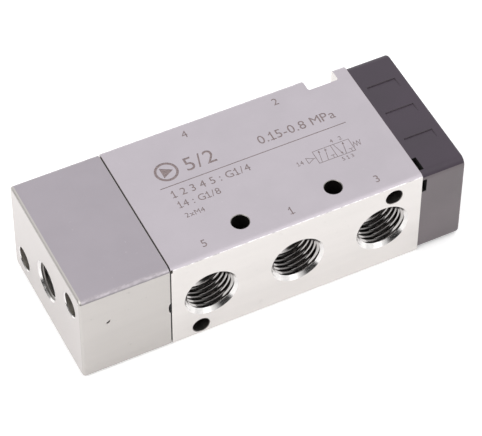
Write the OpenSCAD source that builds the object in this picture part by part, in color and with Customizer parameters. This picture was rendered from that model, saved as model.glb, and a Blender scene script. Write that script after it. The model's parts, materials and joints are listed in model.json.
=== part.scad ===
// Air-piloted 5/2 directional valve with a return spring.
// +X runs along the spool, from the pilot end to the spring end.
// The port face with ports 5, 1 and 3 looks along -Y, ports 4 and 2 open along +Y,
// and the marked face looks up. The origin is the centre of the underside.

/* [Housing] */
// Length of the whole valve
valve_len = 99; // [97:0.5:104]
// Width of the housing, from port face to port face
housing_w = 39.6; // [39:0.1:42]
// Thickness of the housing
housing_t = 27; // [26.5:0.1:30]
// Length of the pilot cap
pilot_cap_len = 22.4; // [22:0.1:26]
// Length of the spring cap
spring_cap_len = 11.5; // [11.4:0.1:14]
// Thickness of the gasket between pilot cap and body
gasket_t = 0.3; // [0.3:0.1:0.8]
// Radius along the long edges of the metal blocks
edge_r = 1.8; // [0.8:0.1:2]
// Radius along the long edges of the spring cap
spring_cap_edge_r = 2.2; // [1:0.1:3]
// How far the spring cap stands back from the body on each side
spring_cap_inset = 0.12; // [0.05:0.01:0.3]

/* [Ports] */
// Distance from port to port on the front face
front_pitch = 22.3; // [21.5:0.1:22.6]
// Distance from port 4 to port 2 on the back face
back_pitch = 24; // [23:0.1:25]
// Minor diameter of the main port thread
port_minor_d = 11.45; // [11:0.01:11.9]
// Diameter of the chamfer at a main port's mouth
port_mouth_d = 13.6; // [13.2:0.1:14.4]
// Depth of the main port thread
port_depth = 8.8; // [8:0.1:9.2]
// Diameter of the passage behind a main port
passage_d = 5; // [4:0.1:5.2]
// Minor diameter of the pilot port thread
pilot_minor_d = 8.6; // [8.2:0.01:9]
// Diameter of the chamfer at the pilot port's mouth
pilot_mouth_d = 10.4; // [10:0.1:11]
// Depth of the pilot port thread
pilot_depth = 8; // [7:0.1:9]

/* [Mounting holes] */
// Diameter of the screw holes that run from top to bottom
top_hole_d = 4.3; // [4.2:0.1:4.6]
// Distance between the holes that run from top to bottom
top_hole_pitch = 24; // [23:0.1:25]
// Distance of these holes from the front face
top_hole_inset = 6.1; // [6:0.1:6.3]
// Diameter of the screw holes that run from front to back
manifold_hole_d = 4.3; // [4.2:0.1:4.5]
// Distance along the valve between the holes that run from front to back
manifold_pitch_x = 50; // [49.6:0.1:50.4]
// Height of the lower front to back hole above the underside
manifold_low_z = 3.1; // [3:0.1:3.6]
// Height of the upper front to back hole above the lower one
manifold_pitch_z = 20; // [19.8:0.1:20.2]
// Width of the relief for the screw head
relief_w = 8; // [7.6:0.1:8.6]
// Depth of this relief from the back face
relief_depth = 3.6; // [3:0.1:4]

/* [Spool] */
// Diameter of the spool bore
bore_d = 13; // [12.8:0.1:13.2]
// Diameter of the annular galleries around the bore
gallery_d = 14; // [13.8:0.1:14.2]
// Width of one gallery
gallery_w = 4.4; // [4:0.1:4.8]
// Travel of the spool
stroke = 4.5; // [4.2:0.1:4.6]
// Diameter of the spool lands
land_d = 12.6; // [12.2:0.1:12.7]
// Diameter of the spool between its lands
waist_d = 7.4; // [6.6:0.1:8]
// Running gap between a seal and the bore wall, on the radius
seal_gap = 0.02; // [0.01:0.01:0.05]
// Width of one spool seal
seal_w = 2; // [1.9:0.1:2.1]

/* [Pilot piston] */
// Diameter of the pilot cylinder
cylinder_d = 21; // [20:0.1:22]
// Length of the pilot cylinder
cylinder_len = 12; // [11.8:0.1:12.4]
// Gap between the piston and its cylinder, on the radius
piston_gap = 0.15; // [0.1:0.01:0.2]

/* [Spring] */
// Wire diameter of the return spring
spring_wire = 1; // [0.8:0.1:1.1]
// Mean diameter of the return spring's coil
spring_d = 8.6; // [8:0.1:8.8]
// Number of turns of the return spring
spring_turns = 4.5; // [4:0.5:5]

/* [End screws] */
// Thread diameter of the end cap screws
screw_d = 3; // [2.9:0.1:3]
// Diameter of a screw head
screw_head_d = 5.5; // [5.3:0.1:5.5]
// Diameter of the counterbore for a screw head
counterbore_d = 6; // [5.9:0.1:6.2]
// Distance across the flats of the hexagon socket
socket_af = 2.5; // [2:0.1:2.6]
// Half the distance between the two screws of a cap across the width
screw_y = 13.9; // [13.8:0.1:14.2]
// Half the distance between the two screws of a cap in height
screw_z = 6.85; // [6.8:0.05:7.5]

/* [Hidden] */

$fn = 64;
eps = 0.01;              // overlap that keeps cuts clean
front = -1;              // side of the valve, as a sign along Y
back = 1;
mid_z = housing_t / 2;
manifold_mid_z = manifold_low_z + manifold_pitch_z / 2;
front_y = -housing_w / 2;
back_y = housing_w / 2;

// stations along X
pilot_x = -valve_len / 2;
gasket_x = pilot_x + pilot_cap_len;
body_x = gasket_x + gasket_t;
end_x = valve_len / 2;
spring_x = end_x - spring_cap_len;
body_len = spring_x - body_x;
body_mid_x = body_x + body_len / 2;

// small features of the metal blocks
hole_chamfer = 0.15;
vent_w = 0.5;
vent_len = 3.4;
vent_depth = 1.2;
vent_groove = 1.2;

// vents of the spring cap, in the corner of its joint face
cap_vent_w = 1.2;
cap_vent_len = 4;
cap_vent_depth = 2.4;
cap_vent_gap = 1.8;
cap_groove_y = 3;

// pilot cylinder
cylinder_x = gasket_x - cylinder_len;
pilot_passage_d = 4;

// spool stations from the body's middle, with the spool at rest towards the pilot end
seal_at = [-30.8, -21.5, -5, 0.5, 17, 26.4];
gallery_at = [-front_pitch, -back_pitch / 2, 0, back_pitch / 2, front_pitch];
seal_od = bore_d - 2 * seal_gap;
seal_id = seal_od - 2 * seal_w;
land_w = seal_w + 1.6;
spool_x = body_mid_x + seal_at[0] - land_w / 2;
spool_end_x = body_mid_x + seal_at[5] + land_w / 2;
spigot_d = 5;
spigot_len = 3;

// pilot piston: a disc with two grooves and a stem that pushes the spool
flange_w = 0.8;
piston_seal_w = 2.4;
guide_w = 1.8;
guide_t = 1;
stem_d = 7;
piston_d = cylinder_d - 2 * piston_gap;
piston_disc_len = 3 * flange_w + piston_seal_w + guide_w;
piston_x = gasket_x - stroke - piston_disc_len;
piston_seal_od = cylinder_d - 2 * seal_gap;
piston_seal_id = piston_seal_od - 2 * piston_seal_w;
bumper_od = 15;
bumper_id = 6;

// return spring, its seat and its pocket
pocket_d = 13.4;
pocket_len = 9;
seat_t = 1.2;
seat_od = 11.6;
spring_foot_x = spool_end_x + seat_t;
spring_len = spring_x + pocket_len - spring_foot_x;
coil_sides = 8;
coil_steps = 20;         // stations in one turn

// end screws, their washers and their holes
head_len = 3;
socket_depth = 1.6;
screw_gap = 0.04;        // clearance of a screw in its tapped hole, on the diameter
clear_d = screw_d + 0.4;
washer_t = 0.6;
washer_id = screw_d + 0.2;
washer_split = 0.5;
screw_bite = 5.5;        // how far a screw reaches into the body
tap_len = screw_bite + 0.2;
pilot_floor = 9;         // depth of the counterbores in the pilot cap
spring_floor = 6.4;      // depth of the counterbores in the spring cap

// ---------------------------------------------------------------- helpers

// Turn a child that stands on the XY plane along +X, with its foot at x on the spool axis.
module along_x(x) {
    translate([x, 0, mid_z]) rotate([0, 90, 0]) children();
}

module rod_x(x, d, len) {
    along_x(x) cylinder(d = d, h = len);
}

module ring_x(x, od, id, len) {
    along_x(x) difference() {
        cylinder(d = od, h = len);
        translate([0, 0, -1]) cylinder(d = id, h = len + 2);
    }
}

// O-ring on the spool axis, with its cord centred at x.
module o_ring_x(x, od, cord) {
    along_x(x) rotate_extrude()
        translate([(od - cord) / 2, 0]) circle(d = cord, $fn = 32);
}

// Outline in Y and Z with rounded corners.
module rounded_outline(w, t, r) {
    square([w - 2 * r, t], center = true);
    square([w, t - 2 * r], center = true);
    for (y = [-1, 1], z = [-1, 1])
        translate([y * (w / 2 - r), z * (t / 2 - r)]) circle(r = r);
}

// Block along +X from x, rounded along its long edges.
module block_x(x, len, w, t, r) {
    translate([x, 0, mid_z])
        rotate([90, 0, 90])
            linear_extrude(len) rounded_outline(w, t, r);
}

// Threaded opening, cut along +Z from the origin: minor diameter, mouth chamfer and drill point.
module threaded_cut(minor_d, mouth_d, end_d, depth) {
    chamfer = (mouth_d - minor_d) / 2;
    point = (minor_d - end_d) / 2 * tan(31);
    translate([0, 0, depth]) cylinder(d1 = minor_d, d2 = end_d, h = point);
    translate([0, 0, -1]) cylinder(d = minor_d, h = depth + 1);
    translate([0, 0, -eps]) cylinder(d1 = mouth_d + 2 * eps, d2 = minor_d, h = chamfer + eps);
}

// Place a child at a port on the front or back face, looking into the body.
module at_port(offset, side) {
    translate([body_mid_x + offset, side * housing_w / 2, mid_z])
        rotate([side * 90, 0, 0]) children();
}

// Place a child at the front (upper) or back (lower) end screw.
module at_screw(side) {
    translate([0, side * screw_y, -side * screw_z]) children();
}

// ---------------------------------------------------------------- housing

module top_hole_cut() {
    mouth_d = top_hole_d + 2 * hole_chamfer;
    translate([0, 0, -1]) cylinder(d = top_hole_d, h = housing_t + 2);
    translate([0, 0, housing_t - hole_chamfer])
        cylinder(d1 = top_hole_d, d2 = mouth_d + 2 * eps, h = hole_chamfer + eps);
    translate([0, 0, -eps])
        cylinder(d1 = mouth_d + 2 * eps, d2 = top_hole_d, h = hole_chamfer + eps);
}

// Front to back hole with a relief for its screw head, open to the nearest large face.
module manifold_cut(up) {
    rotate([90, 0, 0]) cylinder(d = manifold_hole_d, h = housing_w + 2, center = true);
    translate([-relief_w / 2, back_y - relief_depth, up > 0 ? -relief_w / 2 : -relief_w])
        cube([relief_w, relief_depth + 1, 1.5 * relief_w]);
}

module body() {
    color("gainsboro") difference() {
        block_x(body_x, body_len, housing_w, housing_t, edge_r);
        rod_x(body_x - 1, bore_d, body_len + 2);
        for (g = gallery_at)
            rod_x(body_mid_x + g - gallery_w / 2, gallery_d, gallery_w);
        for (k = [-1, 0, 1]) at_port(k * front_pitch, front) {
            threaded_cut(port_minor_d, port_mouth_d, passage_d, port_depth);
            cylinder(d = passage_d, h = housing_w / 2);
        }
        for (k = [-1, 1]) at_port(k * back_pitch / 2, back) {
            threaded_cut(port_minor_d, port_mouth_d, passage_d, port_depth);
            cylinder(d = passage_d, h = housing_w / 2);
        }
        for (k = [-1, 1]) {
            translate([body_mid_x + k * top_hole_pitch / 2, front_y + top_hole_inset, 0])
                top_hole_cut();
            translate([
                body_mid_x + k * manifold_pitch_x / 2,
                0,
                manifold_mid_z + k * manifold_pitch_z / 2
            ])
                manifold_cut(k);
        }
        for (side = [front, back]) at_screw(side) {
            rod_x(body_x - 1, screw_d + screw_gap, tap_len + 1);
            rod_x(spring_x - tap_len, screw_d + screw_gap, tap_len + 1);
        }
    }
}

module pilot_cap() {
    color("silver") difference() {
        block_x(pilot_x, pilot_cap_len, housing_w, housing_t, edge_r);
        rod_x(cylinder_x, cylinder_d, cylinder_len + 1);
        along_x(pilot_x) threaded_cut(pilot_minor_d, pilot_mouth_d, pilot_passage_d, pilot_depth);
        rod_x(pilot_x + 1, pilot_passage_d, cylinder_x - pilot_x);
        for (side = [front, back]) at_screw(side) {
            rod_x(pilot_x - 1, counterbore_d, pilot_floor + 1);
            rod_x(pilot_x, clear_d, pilot_cap_len + 1);
        }
        // vent notch, and the groove that joins it to the cylinder
        translate([gasket_x - vent_w, front_y - 1, mid_z - vent_len / 2])
            cube([vent_w + 1, vent_depth + 1, vent_len]);
        translate([gasket_x - vent_w, front_y, mid_z - vent_groove / 2])
            cube([vent_w + 1, housing_w / 2 - cylinder_d / 2 + 1, vent_groove]);
    }
}

module pilot_gasket() {
    color("black") difference() {
        block_x(gasket_x, gasket_t, housing_w - 0.4, housing_t - 0.4, edge_r);
        rod_x(gasket_x - 1, bore_d, gasket_t + 2);
        for (side = [front, back]) at_screw(side)
            rod_x(gasket_x - 1, clear_d, gasket_t + 2);
    }
}

// Vent of the spring cap: one slot in its top, one in its front, and a groove to the pocket.
module cap_vent_cut() {
    w = housing_w / 2 - spring_cap_inset;
    t = housing_t / 2 - spring_cap_inset;
    slot_z = t - cap_vent_depth;
    translate([0, -w + cap_vent_gap, slot_z])
        cube([cap_vent_w + 1, cap_vent_len, cap_vent_depth + 1]);
    translate([0, -w - 1, t - cap_vent_gap - cap_vent_len])
        cube([cap_vent_w + 1, cap_vent_depth + 1, cap_vent_len]);
    translate([0, -w + cap_vent_gap, slot_z])
        cube([cap_vent_w + 1, w - cap_vent_gap - cap_groove_y, vent_groove]);
    translate([0, -cap_groove_y - vent_groove, 0])
        cube([cap_vent_w + 1, vent_groove, slot_z + vent_groove]);
}

module spring_cap() {
    w = housing_w - 2 * spring_cap_inset;
    t = housing_t - 2 * spring_cap_inset;
    color([0.2, 0.19, 0.2]) difference() {
        block_x(spring_x, spring_cap_len, w, t, spring_cap_edge_r);
        rod_x(spring_x - 1, pocket_d, pocket_len + 1);
        for (side = [front, back]) at_screw(side) {
            rod_x(end_x - spring_floor, counterbore_d, spring_floor + 1);
            rod_x(spring_x - 1, clear_d, spring_cap_len + 1);
        }
        // the lower vent at the back is the upper one turned half round
        for (turn = [0, 180])
            translate([spring_x - 1, 0, mid_z]) rotate([turn, 0, 0]) cap_vent_cut();
    }
}

// --------------------------------------------------------- spool and piston

// Spool: a land at every seal, waists between the lands, and a spigot for the spring seat.
module spool() {
    color("lightsteelblue") difference() {
        union() {
            rod_x(spool_x, waist_d, spool_end_x - spool_x);
            rod_x(spool_end_x - eps, spigot_d, spigot_len + eps);
            for (s = seal_at)
                rod_x(body_mid_x + s - land_w / 2, land_d, land_w);
        }
        for (s = seal_at)
            ring_x(body_mid_x + s - seal_w / 2, land_d + 1, seal_id, seal_w);
    }
}

module spool_seal(number) {
    color("black") o_ring_x(body_mid_x + seal_at[number - 1], seal_od, seal_w);
}

module spool_seal_1() {
    spool_seal(1);
}

module spool_seal_2() {
    spool_seal(2);
}

module spool_seal_3() {
    spool_seal(3);
}

module spool_seal_4() {
    spool_seal(4);
}

module spool_seal_5() {
    spool_seal(5);
}

module spool_seal_6() {
    spool_seal(6);
}

module pilot_piston() {
    seal_groove_x = piston_x + flange_w;
    guide_groove_x = seal_groove_x + piston_seal_w + flange_w;
    color("ivory") difference() {
        union() {
            rod_x(piston_x, piston_d, piston_disc_len);
            rod_x(piston_x + 1, stem_d, spool_x - piston_x - 1);
        }
        ring_x(seal_groove_x, cylinder_d, piston_seal_id, piston_seal_w);
        ring_x(guide_groove_x, cylinder_d, piston_seal_od - 2 * guide_t, guide_w);
    }
}

module piston_seal() {
    color("black")
        o_ring_x(piston_x + flange_w + piston_seal_w / 2, piston_seal_od, piston_seal_w);
}

module piston_guide_ring() {
    color("white")
        ring_x(piston_x + 2 * flange_w + piston_seal_w, piston_seal_od,
            piston_seal_od - 2 * guide_t, guide_w);
}

module piston_bumper() {
    color("dimgray") ring_x(cylinder_x, bumper_od, bumper_id, piston_x - cylinder_x);
}

// ---------------------------------------------------------------- spring

// Point on the wire's surface: turn is the place along the coil, side the one round the wire.
function coil_point(turn, side) =
    let (
        a = 360 * turn,
        b = 360 * side / coil_sides,
        r = spring_d / 2 + spring_wire / 2 * cos(b),
        rise = (spring_len - spring_wire) * turn / spring_turns
    )
    [spring_wire / 2 + rise + spring_wire / 2 * sin(b), r * cos(a), r * sin(a)];

module return_spring() {
    rings = coil_steps * spring_turns;
    points = [
        for (i = [0 : rings], k = [0 : coil_sides - 1]) coil_point(i / coil_steps, k)
    ];
    walls = [
        for (i = [0 : rings - 1], k = [0 : coil_sides - 1])
            let (a = i * coil_sides, b = a + coil_sides, n = (k + 1) % coil_sides)
            [a + k, b + k, b + n, a + n]
    ];
    first = [for (k = [0 : coil_sides - 1]) k];
    last = [for (k = [0 : coil_sides - 1]) rings * coil_sides + coil_sides - 1 - k];
    color("silver") translate([spring_foot_x, 0, mid_z])
        polyhedron(points, concat(walls, [first, last]));
}

module spring_seat() {
    color("goldenrod") ring_x(spool_end_x, seat_od, spigot_d, seat_t);
}

// ------------------------------------------------------------- end screws

// Socket head cap screw along +Z, with its head's outer face at the origin.
module cap_screw(reach) {
    color("dimgray") difference() {
        union() {
            cylinder(d = screw_head_d, h = head_len);
            translate([0, 0, head_len - eps]) cylinder(d = screw_d, h = reach + eps);
        }
        translate([0, 0, -eps]) cylinder(d = socket_af / cos(30), h = socket_depth + eps, $fn = 6);
    }
}

module lock_washer() {
    color("dimgray") difference() {
        cylinder(d = screw_head_d, h = washer_t);
        translate([0, 0, -1]) cylinder(d = washer_id, h = washer_t + 2);
        translate([0, -washer_split / 2, -1]) cube([screw_head_d, washer_split, washer_t + 2]);
    }
}

// Seat a child on the floor of a counterbore in the pilot cap, looking along +X.
module on_pilot_floor(side, height) {
    at_screw(side) along_x(pilot_x + pilot_floor - height) children();
}

// The same in the spring cap, looking along -X.
module on_spring_floor(side, height) {
    at_screw(side)
        translate([end_x - spring_floor + height, 0, mid_z]) rotate([0, -90, 0]) children();
}

pilot_reach = washer_t + pilot_cap_len - pilot_floor + gasket_t + screw_bite;
spring_reach = washer_t + spring_cap_len - spring_floor + screw_bite;

module pilot_cap_screw_front() {
    on_pilot_floor(front, head_len + washer_t) cap_screw(pilot_reach);
}

module pilot_cap_screw_back() {
    on_pilot_floor(back, head_len + washer_t) cap_screw(pilot_reach);
}

module pilot_cap_washer_front() {
    on_pilot_floor(front, washer_t) lock_washer();
}

module pilot_cap_washer_back() {
    on_pilot_floor(back, washer_t) lock_washer();
}

module spring_cap_screw_front() {
    on_spring_floor(front, head_len + washer_t) cap_screw(spring_reach);
}

module spring_cap_screw_back() {
    on_spring_floor(back, head_len + washer_t) cap_screw(spring_reach);
}

module spring_cap_washer_front() {
    on_spring_floor(front, washer_t) lock_washer();
}

module spring_cap_washer_back() {
    on_spring_floor(back, washer_t) lock_washer();
}

body();
pilot_cap();
pilot_gasket();
spring_cap();
spool();
spool_seal_1();
spool_seal_2();
spool_seal_3();
spool_seal_4();
spool_seal_5();
spool_seal_6();
pilot_piston();
piston_seal();
piston_guide_ring();
piston_bumper();
return_spring();
spring_seat();
pilot_cap_screw_front();
pilot_cap_screw_back();
pilot_cap_washer_front();
pilot_cap_washer_back();
spring_cap_screw_front();
spring_cap_screw_back();
spring_cap_washer_front();
spring_cap_washer_back();
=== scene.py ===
"""Looks of an air-piloted 5/2 directional valve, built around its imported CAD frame."""
import json
import math

import bmesh
import bpy
from mathutils import Matrix, Vector


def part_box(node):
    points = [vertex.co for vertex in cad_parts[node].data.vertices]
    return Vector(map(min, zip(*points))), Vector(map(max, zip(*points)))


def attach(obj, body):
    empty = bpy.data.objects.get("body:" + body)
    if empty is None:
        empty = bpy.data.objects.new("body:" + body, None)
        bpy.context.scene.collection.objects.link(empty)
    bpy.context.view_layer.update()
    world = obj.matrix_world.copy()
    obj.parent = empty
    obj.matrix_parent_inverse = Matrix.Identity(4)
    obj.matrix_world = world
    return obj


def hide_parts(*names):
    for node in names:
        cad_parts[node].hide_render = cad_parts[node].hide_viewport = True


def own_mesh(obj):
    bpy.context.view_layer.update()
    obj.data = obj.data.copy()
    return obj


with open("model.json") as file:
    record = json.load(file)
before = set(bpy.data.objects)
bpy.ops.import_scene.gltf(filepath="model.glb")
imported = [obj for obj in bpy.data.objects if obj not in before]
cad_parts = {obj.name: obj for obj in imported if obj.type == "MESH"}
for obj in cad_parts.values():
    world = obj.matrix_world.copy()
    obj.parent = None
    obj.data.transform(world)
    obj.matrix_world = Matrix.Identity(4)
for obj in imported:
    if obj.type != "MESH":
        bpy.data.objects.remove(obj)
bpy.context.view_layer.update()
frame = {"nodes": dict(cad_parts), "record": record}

# Lengths below are in millimetres unless a name says otherwise; to_scene() turns them into metres.
MM = 0.001
MOUNTS = {m["name"]: m for m in frame["record"]["mounts"]}


# ------------------------------------------------------------------ sizes

def box_mm(node):
    """Lowest and highest corner of a CAD node, in millimetres."""
    low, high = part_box(node)
    return low / MM, high / MM


def mount_mm(name):
    """Place and outward axis of a mount, in millimetres."""
    mount = MOUNTS[name]
    return Vector(mount["pos_m"]) / MM, Vector(mount["axis"])


BODY_LOW, BODY_HIGH = box_mm("body")
CAP_LOW, CAP_HIGH = box_mm("pilot_cap")
END_LOW, END_HIGH = box_mm("spring_cap")
MID_Z = (BODY_LOW.z + BODY_HIGH.z) / 2
HALF_W = (BODY_HIGH.y - BODY_LOW.y) / 2
HALF_T = (BODY_HIGH.z - BODY_LOW.z) / 2
END_HALF_W = (END_HIGH.y - END_LOW.y) / 2
END_HALF_T = (END_HIGH.z - END_LOW.z) / 2

FRONT_PORTS = ("port_5", "port_1", "port_3")
BACK_PORTS = ("port_4", "port_2")
PORT_THREAD = {"major": 6.58, "pitch": 1.337, "mouth": 6.85}
PILOT_THREAD = {"major": 4.86, "pitch": 0.907, "mouth": 5.2}
SCREW_THREAD_PITCH = 0.5
# One pitch of an internal thread as (part of the pitch, height above the crest), crest first.
THREAD_FORM = ((0.0, 0.0), (0.08, 0.0), (0.1, 0.03), (0.42, 0.97), (0.45, 1.0), (0.55, 1.0),
               (0.58, 0.97), (0.9, 0.03), (0.92, 0.0))

BODY_EDGE_R = 2.0        # rounding along the body's long edges
BODY_MILLED = 0.58       # how far its side faces are milled back into the rounding
BODY_LIP = 0.17          # width of the bright lip that the milling leaves
LIP_TILT = math.radians(25)    # how far the lip leans from upright
CAP_EDGE_R = 1.8         # rounding along the pilot cap's long edges
CAP_MILLED = 0.35        # how far its side faces are milled back
CAP_END_R = 0.7          # rounding round its outer face
END_EDGE_R = 2.2         # rounding along the spring cap's long edges
BORE_R = 6.5             # spool bore
GALLERY_R = 7.0          # ring channels in the spool bore, and their width
GALLERY_W = 4.4
PASSAGE_R = 2.5          # from a port to the spool bore
CYLINDER_R = 10.5        # pilot piston's bore
POCKET_R = 6.7           # return spring's bore
RELIEF_W = 8.0           # pockets milled into the back edges
RELIEF_DEPTH = 3.6
MANIFOLD_HALF_X = 25.0   # half the distance along X between the front to back holes
SCREW_Y = 13.9           # end screws, from the middle
SCREW_Z = 6.85
SCREW_TAPPED_R = 1.52    # their holes in the body
SCREW_CLEAR_R = 1.7      # their holes in the caps, and the counterbores for their heads
SCREW_HEAD_BORE_R = 3.0
PILOT_SINK = 9.0         # depth of the pilot cap's counterbores
PILOT_PORT_LEN = 9.0     # how far in its port's faces reach
SPRING_SINK = 6.4        # depth of the spring cap's counterbores
ETCH_DEPTH = 0.05
VENT_W = 1.25            # width of the spring cap's vents along the valve
TINY = 0.01              # tolerance for telling one face from another
PAST = 1.0               # how far a cutter sticks out of the face it cuts
X_AXIS = Vector((1, 0, 0))


# ------------------------------------------------------------ mesh helpers

def mesh_object(name, points, faces):
    """Mesh object from points in millimetres, with its faces turned outwards."""
    mesh = bpy.data.meshes.new(name)
    mesh.from_pydata(points, [], faces)
    work = bmesh.new()
    work.from_mesh(mesh)
    bmesh.ops.remove_doubles(work, verts=work.verts, dist=1e-4)
    bmesh.ops.recalc_face_normals(work, faces=work.faces)
    work.to_mesh(mesh)
    work.free()
    thing = bpy.data.objects.new(name, mesh)
    bpy.context.scene.collection.objects.link(thing)
    return thing


def loft(name, rings):
    """Closed solid through rings that have equally many points, with flat ends."""
    count = len(rings[0])
    points = [p for ring in rings for p in ring]
    faces = []
    for row in range(len(rings) - 1):
        for i in range(count):
            a, b = row * count + i, row * count + (i + 1) % count
            faces.append((a, b, b + count, a + count))
    faces.append(tuple(range(count))[::-1])
    faces.append(tuple(range(len(points) - count, len(points))))
    return mesh_object(name, points, faces)


def basis(axis):
    """Two directions that make a right-handed frame with axis."""
    side = Vector((0, 0, 1)) if abs(axis.z) < 0.9 else Vector((1, 0, 0))
    u = axis.cross(side).normalized()
    return u, axis.cross(u)


def turned(name, stations, origin, axis, sides=96):
    """Solid of revolution: stations are (distance along axis, radius), and a radius may be a
    function of the angle."""
    u, v = basis(axis)
    rings = []
    for distance, radius in stations:
        ring = []
        for i in range(sides):
            angle = 2 * math.pi * i / sides
            r = radius(angle) if callable(radius) else radius
            ring.append(origin + axis * distance + (u * math.cos(angle) + v * math.sin(angle)) * r)
        rings.append(ring)
    return loft(name, rings)


def brick(name, low, high):
    """Box between two corners."""
    (x0, y0, z0), (x1, y1, z1) = low, high
    ring = [(x0, y0), (x1, y0), (x1, y1), (x0, y1)]
    return loft(name, [[Vector((x, y, z)) for x, y in ring] for z in (z0, z1)])


def combine(target, tool, operation="DIFFERENCE", solver="MANIFOLD"):
    """Cut tool out of target, or join it to target, and delete tool."""
    step = target.modifiers.new("combine", "BOOLEAN")
    step.operation = operation
    step.solver = solver
    step.use_self = solver == "EXACT"
    step.object = tool
    bake(target)
    bpy.data.objects.remove(tool)


def bake(thing):
    """Replace the object's mesh by what its modifiers make of it."""
    bpy.context.view_layer.update()
    shown = thing.evaluated_get(bpy.context.evaluated_depsgraph_get())
    mesh = bpy.data.meshes.new_from_object(shown)
    thing.modifiers.clear()
    thing.data = mesh


def to_scene(thing, body, replaced=(), smooth_deg=28):
    """Turn a finished piece into metres, shade it and let it ride on its body."""
    work = bmesh.new()
    work.from_mesh(thing.data)
    bmesh.ops.remove_doubles(work, verts=work.verts, dist=1e-5)
    bmesh.ops.dissolve_degenerate(work, edges=work.edges, dist=1e-5)
    limit = math.radians(smooth_deg)
    for face in work.faces:
        face.smooth = True
    for edge in work.edges:
        edge.smooth = len(edge.link_faces) == 2 and edge.calc_face_angle(0) < limit
    work.to_mesh(thing.data)
    work.free()
    thing.data.transform(Matrix.Scale(MM, 4))
    weighted = thing.modifiers.new("flat_faces", "WEIGHTED_NORMAL")
    weighted.keep_sharp = True
    bake(thing)
    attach(thing, body)
    if replaced:
        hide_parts(*replaced)
    return thing


def paint(thing, rule):
    """Give each face the material that rule(centre, normal) returns."""
    slots = thing.data.materials
    slots.clear()
    for face in thing.data.polygons:
        look = rule(face.center, face.normal)
        if look.name not in slots:
            slots.append(look)
        face.material_index = slots.find(look.name)


def coat(thing, look):
    """Give every face the same material."""
    paint(thing, lambda centre, normal: look)


# --------------------------------------------------------------- materials

class Shader:
    """A material's node tree with short calls for the nodes used here."""

    def __init__(self, name, **inputs):
        self.material = bpy.data.materials.new(name)
        self.material.use_nodes = True
        self.tree = self.material.node_tree
        self.surface = self.tree.nodes["Principled BSDF"]
        for key, value in inputs.items():
            self.surface.inputs[key.replace("_", " ")].default_value = value
        self.place = self.tree.nodes.new("ShaderNodeTexCoord").outputs["Object"]

    def link(self, out, to):
        """Wire one node's output to another's input."""
        self.tree.links.new(out, to)

    def noise(self, scale, stretch=(1, 1, 1), detail=3.0, rough=0.5):
        """Noise of that many features per metre, drawn out along the axes with small stretch."""
        mapping = self.tree.nodes.new("ShaderNodeMapping")
        mapping.inputs["Scale"].default_value = stretch
        self.link(self.place, mapping.inputs["Vector"])
        node = self.tree.nodes.new("ShaderNodeTexNoise")
        node.inputs["Scale"].default_value = scale
        node.inputs["Detail"].default_value = detail
        node.inputs["Roughness"].default_value = rough
        self.link(mapping.outputs["Vector"], node.inputs["Vector"])
        return node.outputs["Fac"]

    def between(self, source, low, high, start=0.3, end=0.7):
        """Source spread from low to high."""
        node = self.tree.nodes.new("ShaderNodeMapRange")
        node.inputs["From Min"].default_value = start
        node.inputs["From Max"].default_value = end
        node.inputs["To Min"].default_value = low
        node.inputs["To Max"].default_value = high
        self.link(source, node.inputs["Value"])
        return node.outputs["Result"]

    def colours(self, source, first, second, start=0.35, end=0.65):
        """Colour ramp from first to second."""
        node = self.tree.nodes.new("ShaderNodeValToRGB")
        node.color_ramp.elements[0].position = start
        node.color_ramp.elements[1].position = end
        node.color_ramp.elements[0].color = (*first, 1)
        node.color_ramp.elements[1].color = (*second, 1)
        self.link(source, node.inputs["Fac"])
        return node.outputs["Color"]

    def specks(self, ground, colour, scale, most):
        """Ground with sparse small specks of a colour, covering at most that much of it."""
        node = self.tree.nodes.new("ShaderNodeMix")
        node.data_type = "RGBA"
        cover = self.between(self.noise(scale, detail=4, rough=0.65), 0.0, most, 0.66, 0.74)
        self.link(cover, node.inputs["Factor"])
        self.link(ground, node.inputs["A"])
        node.inputs["B"].default_value = (*colour, 1)
        return node.outputs["Result"]

    def bump(self, *layers):
        """Bump from (source, distance in millimetres) layers."""
        normal = None
        for source, distance in layers:
            node = self.tree.nodes.new("ShaderNodeBump")
            node.inputs["Distance"].default_value = distance * MM
            self.link(source, node.inputs["Height"])
            if normal:
                self.link(normal, node.inputs["Normal"])
            normal = node.outputs["Normal"]
        self.link(normal, self.surface.inputs["Normal"])

    def set(self, **sources):
        """Wire outputs to the surface's inputs of those names."""
        for key, source in sources.items():
            self.link(source, self.surface.inputs[key.replace("_", " ")])
        return self


def tinted(colour, factor):
    """The colour made that many times as bright."""
    return tuple(c * factor for c in colour)


def blasted_metal(name, colour, wear=0.15):
    """Fine bead-blasted and clear anodised aluminium: clouds, and a few rubbed specks."""
    look = Shader(name, Metallic=1.0)
    grain = look.noise(7000, detail=2)
    clouds = look.noise(90, detail=4, rough=0.6)
    even = look.colours(clouds, tinted(colour, 0.97), tinted(colour, 1.025))
    look.set(Base_Color=look.specks(even, tinted(colour, 1.5), 700, wear),
             Roughness=look.between(clouds, 0.40, 0.47))
    look.bump((grain, 0.006))
    return look.material


def milled_metal(name, colour, wear=0.2):
    """Aluminium faced by a cutter: fine parallel lines, faint streaks and a few dark nicks."""
    look = Shader(name, Metallic=1.0)
    lines = look.noise(1000, stretch=(0.06, 0.06, 6), detail=2)
    streaks = look.noise(110, stretch=(0.25, 0.25, 1.6), detail=4, rough=0.6)
    even = look.colours(streaks, tinted(colour, 0.965), tinted(colour, 1.02))
    look.set(Base_Color=look.specks(even, tinted(colour, 0.45), 420, wear),
             Roughness=look.between(streaks, 0.30, 0.38))
    look.bump((lines, 0.0035))
    return look.material


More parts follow.
